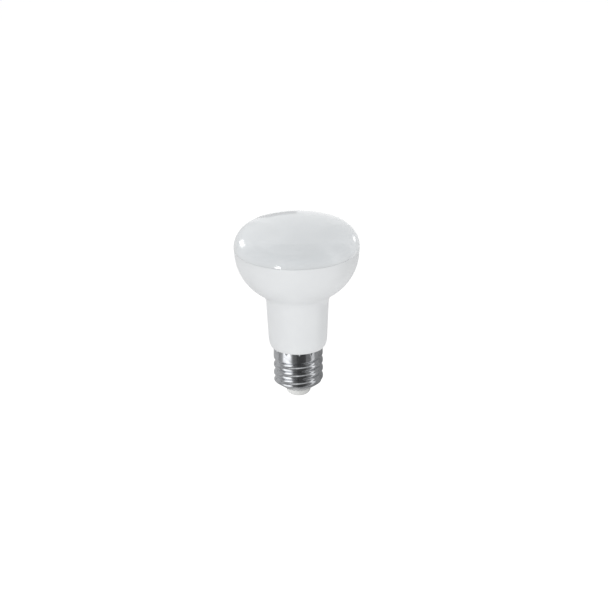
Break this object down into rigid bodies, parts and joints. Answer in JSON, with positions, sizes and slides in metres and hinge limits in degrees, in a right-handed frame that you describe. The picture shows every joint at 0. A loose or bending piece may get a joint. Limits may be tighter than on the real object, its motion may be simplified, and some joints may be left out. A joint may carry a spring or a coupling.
{
  "type": "reflector light bulb",
  "caption": "White reflector LED bulb with a milky domed diffuser, a smooth plastic neck and a nickel-plated screw cap.",
  "frame": {"origin": "centre of the foot of the centre contact, the lamp's lowest point", "axes": "+Z along the lamp's axis from the contact to the top of the dome; -Y towards the viewer of the picture"},
  "size_m": [0.0422, 0.0422, 0.063],
  "materials": {
    "diffuser": "milky polycarbonate, glossy",
    "housing": "white moulded plastic, satin",
    "cap_metal": "nickel-plated brass sheet, bright",
    "insulator": "white moulded plastic, satin",
    "contact_metal": "nickel-plated brass, bright"
  },
  "bodies": {
    "root": {"diffuser": "diffuser", "housing": "housing", "screw_shell": "cap_metal", "insulator": "insulator", "centre_contact": "contact_metal"}
  },
  "joints": []
}
